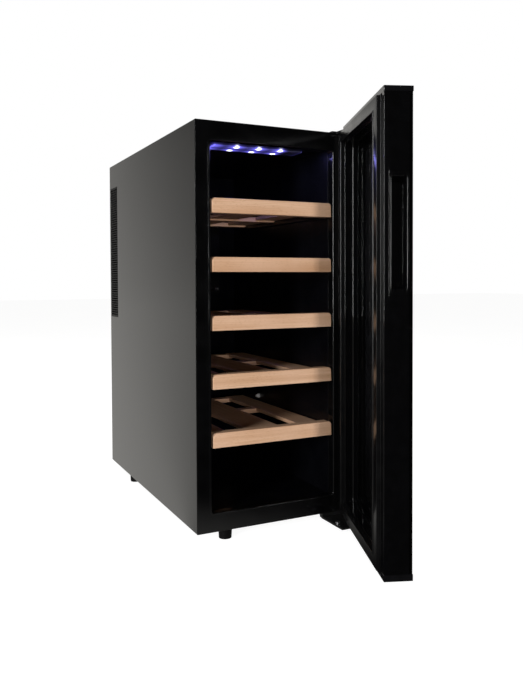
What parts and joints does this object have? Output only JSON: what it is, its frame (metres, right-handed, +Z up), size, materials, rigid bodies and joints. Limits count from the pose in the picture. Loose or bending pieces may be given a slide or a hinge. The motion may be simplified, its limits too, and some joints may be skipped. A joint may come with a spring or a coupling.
{
  "type": "wine cooler",
  "caption": "Slim free-standing wine cooler with an open glass door, wooden shelves, a lamp, side vents and a thermoelectric cooling unit behind.",
  "frame": {"origin": "middle of the cabinet's footprint, on the floor, without the door", "axes": "+X to the right seen from the front, +Y from the front to the back, +Z up"},
  "size_m": [0.2894, 0.7845, 0.6518],
  "materials": {
    "shell_paint": "satin charcoal powder coat",
    "black_plastic": "fine-grained matt black",
    "frame_plastic": "satin black",
    "liner_plastic": "satin black",
    "foam": "rigid polyurethane foam",
    "galvanised_steel": "galvanised",
    "zinc_steel": "zinc plated",
    "circuit_board": "solder mask",
    "lamp_lens": "frosted clear",
    "led_white": "white board with emitters",
    "aluminium": "extruded",
    "ceramic_white": "matt",
    "chrome_cap": "polished",
    "hinge_paint": "black paint",
    "foot_rubber": "matt black",
    "gloss_black": "high gloss black",
    "door_glass": "smoked, with a black printed border",
    "inner_glass": "tinted",
    "spacer_black": "black anodised",
    "gasket_rubber": "soft satin dark grey",
    "magnet": "magnetic rubber strip",
    "cap_plastic": "satin gloss black",
    "nylon": "natural",
    "display": "dark display window",
    "beech": "oiled beech"
  },
  "bodies": {
    "cabinet": {"outer_shell": "shell_paint", "left_vent_grille": "black_plastic", "right_vent_grille": "black_plastic", "base_panel": "shell_paint", "front_frame": "frame_plastic", "inner_liner": "liner_plastic", "insulation_foam": "foam", "back_panel": "galvanised_steel", "rear_cover": "shell_paint", "rear_cover_screws": "zinc_steel", "power_inlet": "black_plastic", "power_board": "circuit_board", "led_lens": "lamp_lens", "led_board": "led_white", "fan_cover": "black_plastic", "fan_cover_screws": "zinc_steel", "cold_fan_frame": "black_plastic", "cold_sink": "aluminium", "cold_block": "aluminium", "peltier_module": "ceramic_white", "hot_sink": "aluminium", "hot_fan_frame": "black_plastic", "temperature_sensor": "chrome_cap", "upper_hinge_bracket": "hinge_paint", "upper_hinge_pin": "zinc_steel", "lower_hinge_bracket": "hinge_paint", "lower_hinge_pin": "zinc_steel", "hinge_screws": "zinc_steel", "front_left_foot": "foot_rubber", "front_right_foot": "foot_rubber", "rear_feet": "foot_rubber", "shelf_1_fascia": "beech", "shelf_1_slats": "beech", "shelf_1_battens": "beech", "shelf_2_fascia": "beech", "shelf_2_slats": "beech", "shelf_2_battens": "beech", "shelf_3_fascia": "beech", "shelf_3_slats": "beech", "shelf_3_battens": "beech", "shelf_4_fascia": "beech", "shelf_4_slats": "beech", "shelf_4_battens": "beech", "shelf_5_fascia": "beech", "shelf_5_slats": "beech", "shelf_5_battens": "beech"},
    "door": {"door_frame": "gloss_black", "door_glass": "door_glass", "inner_glass": "inner_glass", "glass_spacer": "spacer_black", "door_gasket": "gasket_rubber", "gasket_magnet": "magnet", "door_top_cap": "cap_plastic", "door_bottom_cap": "cap_plastic", "handle_insert": "gloss_black", "hinge_bushes": "nylon", "control_display": "display"},
    "cold_fan": {"cold_fan_rotor": "black_plastic"},
    "hot_fan": {"hot_fan_rotor": "black_plastic"}
  },
  "joints": [
    {"name": "door_hinge", "type": "hinge", "parent": "cabinet", "child": "door", "pos_m": [0.127, -0.2745, 0], "axis": [0, 0, 1], "range_deg": [-69.2, 50]},
    {"name": "cold_fan_spin", "type": "hinge", "parent": "cabinet", "child": "cold_fan", "pos_m": [0, 0.13, 0.463], "axis": [0, 1, 0], "continuous": true},
    {"name": "hot_fan_spin", "type": "hinge", "parent": "cabinet", "child": "hot_fan", "pos_m": [0, 0.23, 0.463], "axis": [0, 1, 0], "continuous": true}
  ]
}
